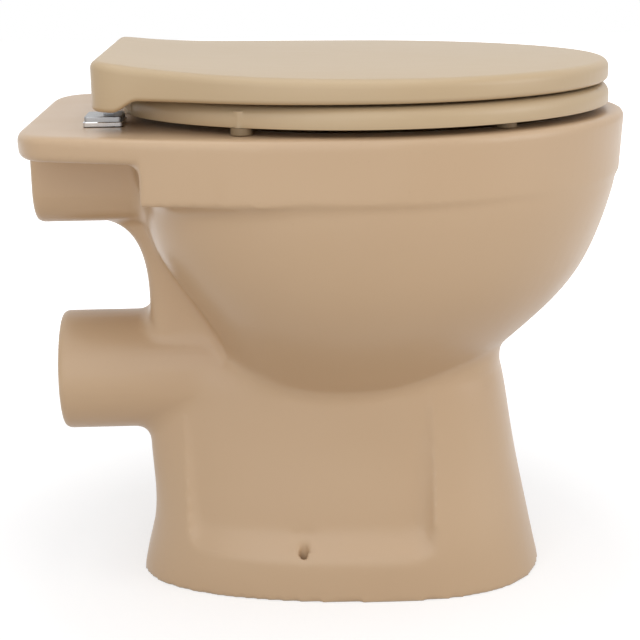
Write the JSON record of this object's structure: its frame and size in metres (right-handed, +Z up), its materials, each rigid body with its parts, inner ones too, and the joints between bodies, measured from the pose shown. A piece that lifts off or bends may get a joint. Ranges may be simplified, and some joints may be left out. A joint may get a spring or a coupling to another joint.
{
  "type": "toilet",
  "caption": "Floor-standing rimless toilet pan in one casting, with a horizontal outlet, a rear inlet box, and a hinged seat ring and lid.",
  "frame": {"origin": "on the floor, under the middle of the pan's length and width", "axes": "+Z up, -Y towards the nose of the bowl, +Y towards the wall and the outlet, X across the pan"},
  "size_m": [0.36, 0.4854, 0.4525],
  "materials": {
    "glazed_ceramic": "tan vitreous china under a clear gloss glaze",
    "seat_plastic": "tan thermoset moulding, polished",
    "chrome": "bright chrome plating",
    "steel": "brushed stainless steel",
    "rubber": "black rubber",
    "buffer_rubber": "tan soft rubber",
    "nylon": "natural white nylon"
  },
  "bodies": {
    "pan": {"pan": "glazed_ceramic", "hinge_gasket_left": "rubber", "hinge_base_left": "chrome", "hinge_plate_left": "steel", "hinge_pin_left": "steel", "fixing_stud_left": "steel", "expansion_sleeve_left": "nylon", "cone_nut_left": "steel", "hinge_gasket_right": "rubber", "hinge_base_right": "chrome", "hinge_plate_right": "steel", "hinge_pin_right": "steel", "fixing_stud_right": "steel", "expansion_sleeve_right": "nylon", "cone_nut_right": "steel"},
    "seat": {"seat": "seat_plastic", "hinge_seat_bush_left": "nylon", "seat_buffer_front_left": "buffer_rubber", "seat_buffer_rear_left": "buffer_rubber", "hinge_seat_bush_right": "nylon", "seat_buffer_front_right": "buffer_rubber", "seat_buffer_rear_right": "buffer_rubber"},
    "lid": {"lid": "seat_plastic", "hinge_lid_bush_left": "nylon", "lid_buffer_front_left": "buffer_rubber", "lid_buffer_rear_left": "buffer_rubber", "hinge_lid_bush_right": "nylon", "lid_buffer_front_right": "buffer_rubber", "lid_buffer_rear_right": "buffer_rubber"}
  },
  "joints": [
    {"name": "seat_hinge", "type": "hinge", "parent": "pan", "child": "seat", "pos_m": [0, 0.175, 0.4315], "axis": [-1, 0, 0], "range_deg": [0, 95]},
    {"name": "lid_hinge", "type": "hinge", "parent": "seat", "child": "lid", "pos_m": [0, 0.175, 0.4315], "axis": [-1, 0, 0], "range_deg": [0, 95]}
  ]
}
